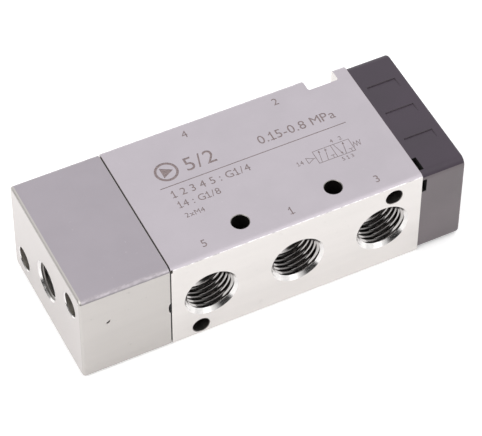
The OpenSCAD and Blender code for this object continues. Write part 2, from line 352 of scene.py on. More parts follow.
def cut_metal(name, colour, roughness, bump_mm=0.002):
    """Bare aluminium left by a tap, a drill or a countersink."""
    look = Shader(name, Metallic=1.0)
    marks = look.noise(700, stretch=(1, 2, 1), detail=2)
    look.set(Base_Color=look.colours(marks, tinted(colour, 0.92), colour),
             Roughness=look.between(marks, roughness, roughness + 0.05))
    look.bump((marks, bump_mm))
    return look.material


def rubbed_metal(name, colour, least, most):
    """Edge that handling has rubbed bright in places: its colour varies from least to most."""
    look = Shader(name, Metallic=1.0)
    wear = look.noise(1200, stretch=(0.6, 1, 1), detail=4, rough=0.7)
    look.set(Base_Color=look.colours(wear, tinted(colour, least), tinted(colour, most), 0.38, 0.62),
             Roughness=look.between(wear, 0.42, 0.30))
    look.bump((wear, 0.01))
    return look.material


def etched_metal(name):
    """Laser marking: brown-grey, matt and slightly uneven."""
    look = Shader(name, Metallic=0.35)
    spots = look.noise(2600, detail=2)
    look.set(Base_Color=look.colours(spots, (0.17, 0.13, 0.13), (0.29, 0.235, 0.235)),
             Roughness=look.between(spots, 0.5, 0.7))
    look.bump((spots, 0.01))
    return look.material


def moulded_plastic(name, colour, roughness=0.5, grain_mm=0.012):
    """Moulded plastic with an eroded grain."""
    look = Shader(name, Metallic=0.0)
    grain = look.noise(4200, detail=3, rough=0.6)
    flow = look.noise(70, detail=3)
    look.set(Base_Color=look.colours(flow, tinted(colour, 0.9), tinted(colour, 1.1)),
             Roughness=look.between(flow, roughness - 0.04, roughness + 0.05))
    look.bump((grain, grain_mm))
    return look.material


def rubber(name, colour):
    """Moulded rubber with a dusty bloom."""
    look = Shader(name, Metallic=0.0)
    bloom = look.noise(500, detail=4, rough=0.7)
    look.set(Base_Color=look.colours(bloom, colour, tinted(colour, 1.6)),
             Roughness=look.between(bloom, 0.6, 0.8))
    look.bump((look.noise(3000), 0.006))
    return look.material


def turned_metal(name, colour, roughness=0.25):
    """Metal turned about X: rings round the axis show as steps along it."""
    look = Shader(name, Metallic=1.0)
    rings = look.noise(1000, stretch=(7, 0.04, 0.04), detail=2)
    clouds = look.noise(200, detail=3)
    look.set(Base_Color=look.colours(clouds, tinted(colour, 0.93), colour),
             Roughness=look.between(clouds, roughness, roughness + 0.12))
    look.bump((rings, 0.003))
    return look.material


BODY_TOP = blasted_metal("blasted_body", (0.488, 0.451, 0.488))
BODY_SIDE = milled_metal("milled_body", (0.68, 0.65, 0.632), 0.1)
CAP_TOP = blasted_metal("blasted_cap", (0.382, 0.350, 0.384), 0.3)
CAP_SIDE = milled_metal("milled_cap", (0.50, 0.475, 0.458), 0.35)
# Lighter copy of the cap's milled metal for its outer end face: painted light.
CAP_END_PAINTED_LIGHT = milled_metal("milled_cap_end", (0.573, 0.54, 0.528))
THREAD = cut_metal("tapped_metal", (0.50, 0.48, 0.47), 0.11, 0.0003)
CHAMFER = cut_metal("countersunk_metal", (0.78, 0.76, 0.75), 0.18)
LIP = rubbed_metal("rubbed_edge", (0.76, 0.73, 0.74), 0.55, 1.15)
CAP_EDGE = rubbed_metal("rubbed_cap_edge", (0.375, 0.346, 0.37), 0.9, 1.12)
# Dark metal for thread crests and the cone and passage below the thread: painted shade deep in the
# ports.
CREST_PAINTED_SHADE = cut_metal("thread_crest", (0.12, 0.112, 0.105), 0.4)
# Darkened metal for bores, holes and the pilot port's thread: painted shade inside them.
BORE_PAINTED_SHADE = cut_metal("drilled_metal", (0.30, 0.285, 0.27), 0.35)
COUNTERBORE = cut_metal("counterbored_metal", (0.52, 0.49, 0.45), 0.35)
ETCH = etched_metal("etched_marks")
PLASTIC = moulded_plastic("black_plastic", (0.038, 0.0255, 0.040))
# Lighter copy of the black plastic for the cap's upright faces: painted light, standing in for the
# light that falls on them.
PLASTIC_PAINTED_LIT = moulded_plastic("black_plastic_side", (0.137, 0.116, 0.124))
# Near-black plastic for the insides of the vents: painted shade.
PLASTIC_PAINTED_SHADE = moulded_plastic("black_plastic_deep", (0.006, 0.006, 0.006), 0.7)
NITRILE = rubber("black_nitrile", (0.012, 0.012, 0.013))
GREY_RUBBER = rubber("grey_bumper_rubber", (0.07, 0.07, 0.075))
SPOOL_METAL = turned_metal("turned_spool", (0.80, 0.81, 0.84))
ACETAL = moulded_plastic("white_acetal", (0.72, 0.71, 0.66), 0.35, 0.004)
GUIDE = moulded_plastic("guide_plastic", (0.80, 0.80, 0.78), 0.4, 0.003)
WIRE = turned_metal("spring_wire", (0.66, 0.66, 0.68), 0.2)
BRASS = turned_metal("turned_brass", (0.86, 0.62, 0.30))
BLACK_STEEL = cut_metal("blackened_steel", (0.10, 0.10, 0.105), 0.35)


# ------------------------------------------------------------ housing parts

def block_outline(half_w, half_t, radius, milled, lip, inset=0.0, arc=10):
    """Cross-section of a block in Y and Z. Its long edges are rounded, and its side faces are
    milled back so that the rounding meets them at a crease, or at a narrow lip."""
    radius = max(radius - inset, 0.1)
    half_w -= inset
    half_t -= inset
    start = math.acos((radius - milled - lip) / radius) if milled else 0.0
    quarter = []
    for i in range(arc + 1):
        angle = start + (math.pi / 2 - start) * i / arc
        y = half_w + milled - radius + radius * math.cos(angle)
        z = half_t - radius + radius * math.sin(angle)
        quarter.append((y, z))
    if lip:
        quarter.insert(0, (half_w, quarter[0][1] - lip * math.tan(LIP_TILT)))
    upper = quarter + [(-y, z) for y, z in reversed(quarter)]
    return upper + [(-y, -z) for y, z in upper]


def block(name, low, high, radius, milled, lip, ends):
    """Block along X; ends are (rounding at the low end, rounding at the high end)."""
    half_w, half_t = (high.y - low.y) / 2, (high.z - low.z) / 2
    mid_y, mid_z = (low.y + high.y) / 2, (low.z + high.z) / 2
    stations = []
    for x, edge, way in ((low.x, ends[0], 1), (high.x, ends[1], -1)):
        steps = 6
        side = []
        for i in range(steps + 1):
            angle = math.pi / 2 * i / steps
            side.append((x + way * edge * (1 - math.sin(angle)), edge * (1 - math.cos(angle))))
        stations += side[::-1] if way > 0 else side
    rings = []
    for x, inset in stations:
        outline = block_outline(half_w, half_t, radius, milled, lip, inset)
        rings.append([Vector((x, mid_y + y, mid_z + z)) for y, z in outline])
    return loft(name, rings)


def thread_height(phase):
    """Height of the thread form, 0 at the crest and 1 at the root, at a part of a pitch."""
    stops = THREAD_FORM + ((1.0, 0.0),)
    for (p0, h0), (p1, h1) in zip(stops, stops[1:]):
        if phase <= p1:
            return h0 + (h1 - h0) * (phase - p0) / (p1 - p0)
    return 0.0


def tap_tool(name, origin, axis, minor, thread, depth, tail, sides=96):
    """Cutter for a tapped hole. Its rows follow the helix, so that crests and roots are clean
    lines, and where they pass the ends they are held there and merge. The tail is a list of
    (distance, radius) beyond the thread."""
    u, v = basis(axis)
    pitch, rise = thread["pitch"], thread["major"] - minor
    first = -PAST
    turns = math.ceil((depth - first) / pitch) + 1
    rows = [turn + part for turn in range(turns) for part, _ in THREAD_FORM] + [turns]
    points, faces = [], []
    for i in range(sides + 1):
        angle = 2 * math.pi * i / sides
        out = u * math.cos(angle) + v * math.sin(angle)
        for row in rows:
            distance = first + (row + i / sides - 1) * pitch
            distance = min(max(distance, first), depth)
            phase = ((distance - first) / pitch - i / sides) % 1
            fade = min((depth - distance) / pitch, 1)
            radius = minor + rise * thread_height(phase) * fade
            points.append(origin + axis * distance + out * radius)
        for distance, radius in tail:
            points.append(origin + axis * distance + out * radius)
    count = len(rows) + len(tail)
    for i in range(sides):
        for j in range(count - 1):
            a = i * count + j
            faces.append((a, a + 1, a + count + 1, a + count))
    faces.append([i * count for i in range(sides)])
    faces.append([i * count + count - 1 for i in range(sides)])
    return mesh_object(name, points, faces)


def tap(target, mount_name, thread, face, tail, sides=96):
    """Cut a mount's tapped hole and the chamfer of its mouth; face is the face's distance out."""
    place, outward = mount_mm(mount_name)
    dims = MOUNTS[mount_name]["dims"]
    minor, mouth = dims["r_mm"], thread["mouth"]
    origin = place + outward * (face - place.dot(outward))
    depth = dims["length_mm"] + mouth - minor
    tool = tap_tool("tap", origin, -outward, minor, thread, depth, tail(depth, minor), sides)
    combine(target, tool)
    inside = 0.2
    chamfer = [(-PAST, mouth + PAST), (mouth - minor + inside, minor - inside)]
    combine(target, turned("mouth_chamfer", chamfer, origin, -outward, 240))


def port_tail(depth, minor):
    """Drill cone below a port's thread, and the passage to the spool bore."""
    cone_end = depth + (minor - PASSAGE_R) * math.tan(math.radians(31))
    reach = HALF_W - BORE_R + PAST
    return [(cone_end, PASSAGE_R), (max(reach, cone_end + 0.5), PASSAGE_R)]


def screw_places():
    """Y and Z of the two end screws, front (upper) first."""
    return [(side * SCREW_Y, MID_Z - side * SCREW_Z) for side in (-1, 1)]


def drill_x(target, x0, x1, radius, y=0.0, z=None, sides=64):
    """Plain hole along X."""
    centre = Vector((x0, y, MID_Z if z is None else z))
    tool = turned("drill", [(0, radius), (x1 - x0, radius)], centre, X_AXIS, sides)
    combine(target, tool)


def glyph(figure):
    """Mesh of one figure of the built-in font, and its left, right and top."""
    curve = bpy.data.curves.new("figure", "FONT")
    curve.body = figure
    curve.extrude = ETCH_DEPTH
    curve.resolution_u = 3
    holder = bpy.data.objects.new("figure", curve)
    bpy.context.scene.collection.objects.link(holder)
    bpy.context.view_layer.update()
    shown = holder.evaluated_get(bpy.context.evaluated_depsgraph_get())
    mesh = bpy.data.meshes.new_from_object(shown)
    bpy.data.objects.remove(holder)
    xs = [p.co.x for p in mesh.vertices]
    return mesh, min(xs), max(xs), max(p.co.y for p in mesh.vertices)


class Marks:
    """Solids that are cut a little into the marked face, in that face's own U and V."""

    def __init__(self):
        self.work = bmesh.new()

    def solid(self, outline):
        """Upright prism on a convex or concave outline."""
        low = [self.work.verts.new((u, v, -ETCH_DEPTH)) for u, v in outline]
        high = [self.work.verts.new((u, v, ETCH_DEPTH)) for u, v in outline]
        count = len(outline)
        for i in range(count):
            j = (i + 1) % count
            self.work.faces.new((low[i], low[j], high[j], high[i]))
        self.work.faces.new(low[::-1])
        self.work.faces.new(high)

    def line(self, start, end, width):
        """Straight bar from start to end."""
        a, b = Vector(start), Vector(end)
        along = (b - a).normalized() * width / 2
        across = Vector((-along.y, along.x))
        self.solid([a - along - across, b + along - across, b + along + across, a - along + across])

    def path(self, points, width):
        """Straight bars from point to point."""
        for a, b in zip(points, points[1:]):
            self.line(a, b, width)

    def ring(self, centre, outer, inner, sides=40):
        """Ring made of short bars."""
        mid, width = (outer + inner) / 2, outer - inner
        points = []
        for i in range(sides + 1):
            angle = 2 * math.pi * i / sides
            points.append((centre[0] + mid * math.cos(angle), centre[1] + mid * math.sin(angle)))
        self.path(points, width)

    def arrow(self, start, end, width):
        """Line with a small filled head at its end."""
        head_len, head_half = 0.7, 0.3
        a, b = Vector(start), Vector(end)
        along = (b - a).normalized()
        across = Vector((-along.y, along.x))
        head = b - along * head_len
        self.line(a, head, width)
        self.solid([b, head + across * head_half, head - across * head_half])

    def one(self, u, v, height):
        """Figure 1 with a flag and a foot, which the built-in font's lacks. Each stroke is
        (start, end, thickness) as parts of the height."""
        stem = ((0.28, 0), (0.28, 1), 0.13)
        flag = ((0.06, 0.74), (0.30, 0.93), 0.117)
        foot = ((0.04, 0.05), (0.52, 0.05), 0.104)
        for start, end, thick in (stem, flag, foot):
            ends = [(u + a * height, v + b * height) for a, b in (start, end)]
            self.line(*ends, thick * height)

    def text(self, text, u, v, height):
        """Line of generic figures that starts at (u, v)."""
        blank, one_width, gap = 0.42 * height, 0.70 * height, 0.16 * height
        scale = height / glyph("5")[3]
        for figure in text:
            if figure == " ":
                u += blank
            elif figure == "1":
                self.one(u, v, height)
                u += one_width
            else:
                mesh, left, right, _ = glyph(figure)
                for p in mesh.vertices:
                    p.co.x = u + (p.co.x - left) * scale
                    p.co.y = v + p.co.y * scale
                self.work.from_mesh(mesh)
                u += (right - left) * scale + gap

    def tool(self):
        """The marks as one object, set into the top of the body."""
        bmesh.ops.remove_doubles(self.work, verts=self.work.verts, dist=1e-4)
        bmesh.ops.recalc_face_normals(self.work, faces=self.work.faces)
        mesh = bpy.data.meshes.new("marks")
        self.work.to_mesh(mesh)
        self.work.free()
        mesh.transform(Matrix.Translation((BODY_LOW.x, BODY_LOW.y, BODY_HIGH.z)))
        thing = bpy.data.objects.new("marks", mesh)
        bpy.context.scene.collection.objects.link(thing)
        return thing


def draw_symbol(marks):
    """Circuit symbol of a 5/2 valve with an air pilot on its left and a spring on its right."""
    fine, figure_h = 0.14, 1.1
    left, square, low, high = 45.0, 4.75, 14.0, 17.9
    second, right = left + square, left + 2 * square
    marks.path([(left, low), (right, low), (right, high), (left, high), (left, low)], fine)
    marks.line((second, low), (second, high), fine)
    # Flow arrows of each square as (sixths of its width, lean in sixths, whether it rises).
    sixth, base, top = square / 6, low + 0.2, high - 0.2
    squares = ((left, ((1, 0.9, True), (3, 1.08, True))),
               (second, ((1, 1.08, False), (3, 0.9, True))))
    for start, arrows in squares:
        for place, lean, rises in arrows:
            u0 = start + sixth * place
            u1 = u0 + sixth * lean
            foot, head = (base, top) if rises else (top, base)
            marks.arrow((u0, foot), (u1, head), fine)
        stop_u, stop_v, stop_half = start + sixth * 5, low + 1.0, 0.4
        marks.line((stop_u, low), (stop_u, stop_v), fine)
        marks.line((stop_u - stop_half, stop_v), (stop_u + stop_half, stop_v), fine)
    tip, back, pilot_v = left - 0.6, left - 2.3, 15.9
    marks.path([(tip, pilot_v), (back, 15.0), (back, 16.8), (tip, pilot_v)], fine)
    marks.line((tip, pilot_v), (left, pilot_v), fine)
    marks.path([(right + 0.2 + 0.42 * i, 15.1 + 1.5 * (i % 2)) for i in range(6)], fine)
    marks.text("14", 40.0, 15.3, 1.2)
    marks.text("4", second + 0.5, 18.5, figure_h)
    marks.text("2", second + 2.8, 18.5, figure_h)
    for i, figure in enumerate("513"):
        marks.text(figure, second + 0.6 + 1.2 * i, 12.3, figure_h)


def draw_marks():
    """Everything that is etched on the body: port numbers, symbol and generic ratings. Places
    are along and across the top, from its front left corner."""
    marks = Marks()
    front_v, back_v, figure_h = 2.9, 35.1, 2.1
    for name in FRONT_PORTS + BACK_PORTS:
        u = mount_mm(name)[0].x - BODY_LOW.x
        v = front_v if name in FRONT_PORTS else back_v
        marks.text(name[-1], u - 0.6, v, figure_h)
    marks.line((8.2, 22.9), (56.4, 22.9), 0.22)
    marks.ring((11.7, 27.3), 2.9, 2.3)
    marks.solid([(10.5, 25.7), (13.4, 27.3), (10.5, 28.9)])
    marks.text("5/2", 16.4, 25.3, 4.0)
    marks.text("0.15-0.8 MPa", 35.2, 25.4, 2.55)
    marks.text("1 2 3 4 5 : G1/4", 9.7, 19.2, 2.1)
    marks.text("14 : G1/8", 9.7, 15.8, 1.9)
    marks.text("2xM4", 9.9, 12.5, 1.4)
    draw_symbol(marks)
    return marks.tool()


def make_body():
    """Valve body: milled block with threaded ports, bores, screw holes and etched marks."""
    ends = (0.08, 0.06)
    body = block("valve_body", BODY_LOW, BODY_HIGH, BODY_EDGE_R, BODY_MILLED, BODY_LIP, ends)
    combine(body, draw_marks(), solver="EXACT")
    middle = mount_mm("port_1")[0].x
    spare = 0.2
    tap_low = box_mm("pilot_cap_screw_front")[1].x + spare
    tap_high = box_mm("spring_cap_screw_front")[0].x - spare
    drill_x(body, BODY_LOW.x - PAST, BODY_HIGH.x + PAST, BORE_R, sides=96)
    for name in FRONT_PORTS + BACK_PORTS:
        x = mount_mm(name)[0].x
        drill_x(body, x - GALLERY_W / 2, x + GALLERY_W / 2, GALLERY_R, sides=96)
    for name in FRONT_PORTS + BACK_PORTS:
        tap(body, name, PORT_THREAD, HALF_W, port_tail)
    for y, z in screw_places():
        drill_x(body, BODY_LOW.x - PAST, tap_low, SCREW_TAPPED_R, y, z, 32)
        drill_x(body, tap_high, BODY_HIGH.x + PAST, SCREW_TAPPED_R, y, z, 32)
    cut_top_holes(body, middle)
    cut_manifold_holes(body, middle)
    nick_low = (BODY_LOW.x - PAST, -HALF_W - PAST, BODY_HIGH.z - 1.3)
    nick_high = (BODY_LOW.x + 0.4, -HALF_W + 0.45, BODY_HIGH.z - 0.4)
    combine(body, brick("nick", nick_low, nick_high))
    paint(body, body_rule)
    return to_scene(body, "housing", ["body"])


def cut_top_holes(body, middle):
    """Screw holes through the thickness, chamfered at both mouths."""
    place = mount_mm("top_holes")[0]
    dims = MOUNTS["top_holes"]["dims"]
    radius, edge = dims["hole_r_mm"], 0.15
    low, high = PAST, PAST + BODY_HIGH.z - BODY_LOW.z
    stations = [(0, radius + edge + PAST), (low + edge, radius), (high - edge, radius),
                (high + PAST, radius + edge + PAST)]
    for side in (-1, 1):
        x = middle + side * dims["spacing_x_mm"] / 2
        origin = Vector((x, place.y, BODY_LOW.z - PAST))
        combine(body, turned("top_hole", stations, origin, Vector((0, 0, 1)), 64))


def manifold_offset():
    """Half the distance between the front to back holes, along X and Z."""
    half = MOUNTS["manifold_holes"]["dims"]["pcd_mm"] / 2
    return MANIFOLD_HALF_X, math.sqrt(half ** 2 - MANIFOLD_HALF_X ** 2)


def cut_manifold_holes(body, middle):
    """Front to back screw holes on a diagonal, with reliefs for their screw heads."""
    radius = MOUNTS["manifold_holes"]["dims"]["hole_r_mm"]
    dx, dz = manifold_offset()
    edge = 0.12
    for side in (-1, 1):
        x, z = middle + side * dx, mount_mm("manifold_holes")[0].z + side * dz
        start = Vector((x, -HALF_W - PAST, z))
        stations = [(0, radius + PAST + edge), (PAST + edge, radius),
                    (2 * HALF_W + 2 * PAST, radius)]
        combine(body, turned("manifold_hole", stations, start, Vector((0, 1, 0)), 64))
        low_z = z - RELIEF_W / 2 if side > 0 else BODY_LOW.z - 2 * PAST
        high_z = BODY_HIGH.z + 2 * PAST if side > 0 else z + RELIEF_W / 2
        combine(body, relief_tool(x, low_z, high_z))


def relief_tool(x, low_z, high_z):
    """Milled pocket at the back edge, with the cutter's radius in its inner corners."""
    corner, steps = 0.5, 5
    y0, y1 = HALF_W - RELIEF_DEPTH, HALF_W + PAST
    outline = [(x + RELIEF_W / 2, y1), (x - RELIEF_W / 2, y1)]
    for centre_x, first in ((x - RELIEF_W / 2 + corner, 180), (x + RELIEF_W / 2 - corner, 270)):
        for i in range(steps + 1):
            angle = math.radians(first + 90 * i / steps)
            outline.append((centre_x + corner * math.cos(angle), y0 + corner * (1 + math.sin(angle))))
    return loft("relief", [[Vector((a, b, z)) for a, b in outline] for z in (low_z, high_z)])


def near_axis(centre, name):
    """How far a point is from a mount's axis."""
    place, outward = mount_mm(name)
    offset = centre - place
    return (offset - outward * offset.dot(outward)).length


def tapped_rule(radius, depth, name, thread):
    """Material of a tapped hole's face so far from its axis and below its mouth: the mouth's 45
    degree chamfer, a thread's flank, or a crest and what lies below the thread, which get a dark
    colour as painted shade."""
    if abs(radius + depth - thread["mouth"]) < 0.03:
        return CHAMFER
    return THREAD if radius > MOUNTS[name]["dims"]["r_mm"] + 0.04 else CREST_PAINTED_SHADE


def body_rule(centre, normal):
    """Material of a body face, by where it lies and how it faces."""
    from_top, from_side = BODY_HIGH.z - centre.z, HALF_W - abs(centre.y)
    if abs(normal.z) > 0.999 and min(from_top, centre.z - BODY_LOW.z) < TINY:
        return BODY_TOP
    if 0 < from_top < ETCH_DEPTH * 1.1 and from_side > BODY_EDGE_R:
        return ETCH
    if from_side < BODY_EDGE_R and abs(centre.z - MID_Z) > HALF_T - BODY_EDGE_R:
        if abs(normal.x) < 0.9 and normal.y * centre.y > 0 and normal.z * (centre.z - MID_Z) > 0:
            if from_side < BODY_LIP * 0.6:
                return LIP
            # Roundings below the middle take the lighter milled side colour: painted light, so that
            # they don't show the floor's shadow reflected in them.
            return BODY_TOP if centre.z > MID_Z else BODY_SIDE
    from_end = min(abs(centre.x - BODY_LOW.x), abs(centre.x - BODY_HIGH.x))
    if from_side < TINY or abs(normal.x) > 0.3 and from_end < 0.2:
        return BODY_SIDE
    for name in FRONT_PORTS + BACK_PORTS:
        radius = near_axis(centre, name)
        if abs(centre.y) > BORE_R + PASSAGE_R and radius < PORT_THREAD["mouth"] + 0.1:
            return tapped_rule(radius, from_side, name, PORT_THREAD)
    if centre.y > HALF_W - RELIEF_DEPTH - 0.1:
        return BODY_SIDE
    # The remaining inner faces get the darkened bore colour as painted shade.
    return BORE_PAINTED_SHADE


def make_pilot_cap():
    """Metal cap at the pilot end: pilot port, cylinder, screw holes and a vent notch."""
    ends = (CAP_END_R, 0.08)
    cap = block("pilot_end_cap", CAP_LOW, CAP_HIGH, CAP_EDGE_R, CAP_MILLED, 0.0, ends)
    drill_x(cap, box_mm("piston_bumper")[0].x, CAP_HIGH.x + PAST, CYLINDER_R, sides=96)
    tap(cap, "pilot_port_14", PILOT_THREAD, -CAP_LOW.x, pilot_tail, 80)
    edge, floor = 0.2, PAST + PILOT_SINK
    stations = [(0, SCREW_HEAD_BORE_R + PAST + edge), (PAST + edge, SCREW_HEAD_BORE_R),
                (floor, SCREW_HEAD_BORE_R), (floor + 0.01, SCREW_CLEAR_R),
                (CAP_HIGH.x - CAP_LOW.x + 2 * PAST, SCREW_CLEAR_R)]
    for y, z in screw_places():
        origin = Vector((CAP_LOW.x - PAST, y, z))
        combine(cap, turned("counterbore", stations, origin, X_AXIS, 64))
    combine(cap, vent_tool())
    dent = Vector((CAP_LOW.x + 6.7, -HALF_W + CAP_MILLED, MID_Z + 3.6))
    inward = Vector((0.3, 1, -0.5)).normalized()
    combine(cap, turned("dent", [(-0.4, 0.9), (0.2, 0.35)], dent, inward, 14))
    groove_half, groove_deep = 0.6, 0.7
    groove_low = (CAP_HIGH.x - groove_deep, -HALF_W + 0.6, MID_Z - groove_half)
    groove_high = (CAP_HIGH.x + PAST, 0.6 - CYLINDER_R, MID_Z + groove_half)
    combine(cap, brick("vent_groove", groove_low, groove_high))
    paint(cap, pilot_cap_rule)
    return to_scene(cap, "housing", ["pilot_cap"])


def pilot_cap_rule(centre, normal):
    """Material of a pilot cap face, by where it lies and how it faces."""
    from_side, from_face = HALF_W - abs(centre.y), HALF_T - abs(centre.z - MID_Z)
    from_end = centre.x - CAP_LOW.x
    if abs(normal.z) > 0.999 and from_face < TINY:
        return CAP_TOP
    if max(from_side, from_face) < CAP_EDGE_R and from_end > CAP_END_R:
        # Roundings below the middle take the lighter milled side colour: painted light, so that they
        # don't show the floor's shadow reflected in them.
        if centre.z < MID_Z:
            return CAP_SIDE
        return CAP_EDGE if normal.z < 0.97 else CAP_TOP
    # Outer end face: painted light, the lighter copy of the milled colour.
    if from_end < TINY:
        return CAP_END_PAINTED_LIGHT
    if min(from_side, from_face) < CAP_END_R:
        return CAP_SIDE
    if from_end < 0.25 and abs(centre.y) > SCREW_Y - SCREW_HEAD_BORE_R - 1:
        return CHAMFER
    radius = near_axis(centre, "pilot_port_14")
    if radius < PILOT_THREAD["mouth"] + 0.1 and from_end < PILOT_PORT_LEN:
        look = tapped_rule(radius, from_end, "pilot_port_14", PILOT_THREAD)
        # The pilot port's thread gets the darkened bore colour as painted shade.
        return CHAMFER if look == CHAMFER else BORE_PAINTED_SHADE
    return COUNTERBORE if from_end < PILOT_SINK + 0.1 else BORE_PAINTED_SHADE


def pilot_tail(depth, minor):
    """Passage from the pilot port to the cylinder."""
    radius, cone = 2.0, 1.2
    return [(depth + cone, radius), (box_mm("piston_bumper")[0].x - CAP_LOW.x + 0.5, radius)]


def vent_tool():
    """Notch with round ends at the cap's joint edge, on the front face."""
    half_len, wide, deep = 1.7, 0.5, 1.2
    steps = 10
    outline = []
    for i in range(steps + 1):
        angle = math.pi * (0.5 + i / steps)
        x = CAP_HIGH.x + wide * math.cos(angle)
        outline.append((x, MID_Z + half_len * math.sin(angle)))
    for side in (-1, 1):
        outline.append((CAP_HIGH.x + PAST, MID_Z + side * half_len))
    depths = (-HALF_W - PAST, -HALF_W + deep)
    return loft("vent", [[Vector((x, y, z)) for x, z in outline] for y in depths])


def make_spring_cap():
    """Moulded black cap at the spring end, with corner vents and ramped recesses on top."""
    cap = block("spring_end_cap", END_LOW, END_HIGH, END_EDGE_R, 0.0, 0.0, (0.1, 0.6))
    drill_x(cap, END_LOW.x - PAST, box_mm("return_spring")[1].x, POCKET_R)
    for y, z in screw_places():
        drill_x(cap, END_HIGH.x - SPRING_SINK, END_HIGH.x + PAST, SCREW_HEAD_BORE_R, y, z)
        drill_x(cap, END_LOW.x - PAST, END_HIGH.x - SPRING_SINK + 0.4, SCREW_CLEAR_R, y, z, 48)
    # A vent's openings and the channels behind them, as ranges of Y and Z from the middle.
    front, top = -END_HALF_W, END_HALF_T
    vent = ((front + 1.8, front + 5.8, top - 2.4, top + PAST),
            (front - PAST, front + 2.4, top - 5.8, top - 1.8),
            (front + 1.9, -3.0, top - 2.39, top - 1.2),
            (-4.2, -3.01, 0.0, top - 1.21))
    for turn in (1, -1):
        for y0, y1, z0, z1 in vent:
            ys, zs = sorted((y0 * turn, y1 * turn)), sorted((z0 * turn, z1 * turn))
            low = (END_LOW.x - PAST, ys[0], MID_Z + zs[0])
            high = (END_LOW.x + VENT_W, ys[1], MID_Z + zs[1])
            combine(cap, brick("vent_slot", low, high))
    for far_y in (10.9, 1.7, -7.5):
        combine(cap, ramp_tool(far_y))
    paint(cap, spring_cap_rule)
    return to_scene(cap, "housing", ["spring_cap"])


def spring_cap_rule(centre, normal):
    """Material of a spring cap face: painted shade inside the vents, and painted light on the upright
    faces.
    """
    from_side, from_face = END_HALF_W - abs(centre.y), END_HALF_T - abs(centre.z - MID_Z)
    # Faces inside the vents get painted shade.
    if min(from_side, from_face) > TINY and centre.x < END_LOW.x + VENT_W + TINY:
        return PLASTIC_PAINTED_SHADE
    # Upright faces get the lighter copy as painted light.
    return PLASTIC_PAINTED_LIT if abs(normal.z) < 0.4 else PLASTIC


def ramp_tool(far_y):
    """Shallow recess in the cap's top: a step at its far side, which rises to nothing towards
    the front."""
    deep, length = 0.25, 3.4
    x0, x1 = END_LOW.x + 1.5, END_HIGH.x - 2.4
    top, near_y = END_HIGH.z, far_y - length
    profile = [(far_y, top - deep), (far_y, top + PAST), (near_y, top + PAST), (near_y, top)]
    return loft("ramp", [[Vector((x, y, z)) for y, z in profile] for x in (x0, x1)])


# ------------------------------------------------------------ turned pieces

def chamfered(steps, edge=0.15):
    """Stations of a stepped shaft given as (start, end, radius), chamfered at its outer edges."""
    stations = []
    for i, (start, end, radius) in enumerate(steps):
        before = steps[i - 1][2] if i else 0
        after = steps[i + 1][2] if i + 1 < len(steps) else 0
        if radius > before:
            stations += [(start, radius - edge), (start + edge, radius)]
        else:
            stations.append((start, radius))
        if radius > after:
            stations += [(end - edge, radius), (end, radius - edge)]
        else:
            stations.append((end, radius))
    return stations


def make_spool():
    """Spool: lands with seal grooves, slim waists between them, and the spring's spigot."""
    seals = [box_mm(f"spool_seal_{i}") for i in range(1, 7)]
    low, high = box_mm("spool")
    land_r, groove_r, waist_r, spigot_r, flange = 6.3, 4.5, 3.7, 2.5, 0.8
    steps = []
    at = low.x
    for i, (seal_low, seal_high) in enumerate(seals):
        start = seal_low.x - flange
        if i:
            steps.append((at, start, waist_r))
        steps += [(start, seal_low.x, land_r), (seal_low.x, seal_high.x, groove_r),
                  (seal_high.x, seal_high.x + flange, land_r)]
        at = seal_high.x + flange
    steps.append((at, high.x, spigot_r))
    spool = turned("spool_shaft", chamfered(steps), Vector((0, 0, MID_Z)), X_AXIS, 72)
    coat(spool, SPOOL_METAL)
    return to_scene(spool, "spool_group", ["spool"])


def make_piston():
    """Pilot piston: disc with a seal groove and a guide groove, and the stem that pushes the
    spool. The disc stops just short of the gasket at full stroke."""
    low, high = box_mm("pilot_piston")
    seal_low, seal_high = box_mm("piston_seal")
    guide_low, guide_high = box_mm("piston_guide_ring")
    disc_r, stem_r, seal_groove_r, guide_groove_r = (high.y - low.y) / 2, 3.5, 8.08, 9.48
    disc_end = guide_high.x + 0.75
    steps = [(low.x, seal_low.x, disc_r), (seal_low.x, seal_high.x, seal_groove_r),
             (seal_high.x, guide_low.x, disc_r), (guide_low.x, guide_high.x, guide_groove_r),
             (guide_high.x, disc_end, disc_r), (disc_end, high.x, stem_r)]
    piston = turned("pilot_piston_disc", chamfered(steps), Vector((0, 0, MID_Z)), X_AXIS, 80)
    coat(piston, ACETAL)
    return to_scene(piston, "piston_group", ["pilot_piston"])


def make_spring():
    """Return spring: round wire, its end coils closed up."""
    low, high = box_mm("return_spring")
    wire_r, coil_r, turns, sides, steps = 0.5, 4.3, 6.0, 12, 40
    length = high.x - low.x - 2 * wire_r
    pitch_end = 2 * wire_r * 1.05
    rings = []
    count = int(turns * steps)
    rise = (length - 2 * pitch_end) / (turns - 2)
    for i in range(count + 1):
        turn = i / steps
        closed = min(turn, 1) + max(turn - turns + 1, 0)
        x = closed * pitch_end + min(max(turn - 1, 0), turns - 2) * rise
        angle = 2 * math.pi * turn
        out = Vector((0, math.cos(angle), math.sin(angle)))
        centre = Vector((low.x + wire_r + x, 0, MID_Z)) + out * coil_r
        ring = []
        for k in range(sides):
            around = 2 * math.pi * k / sides
            ring.append(centre + (out * math.cos(around) + X_AXIS * math.sin(around)) * wire_r)
        rings.append(ring)
    spring = loft("return_spring_coil", rings)
    coat(spring, WIRE)
    to_scene(spring, "housing", ["return_spring"], smooth_deg=50)
    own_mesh(spring)
    return spring


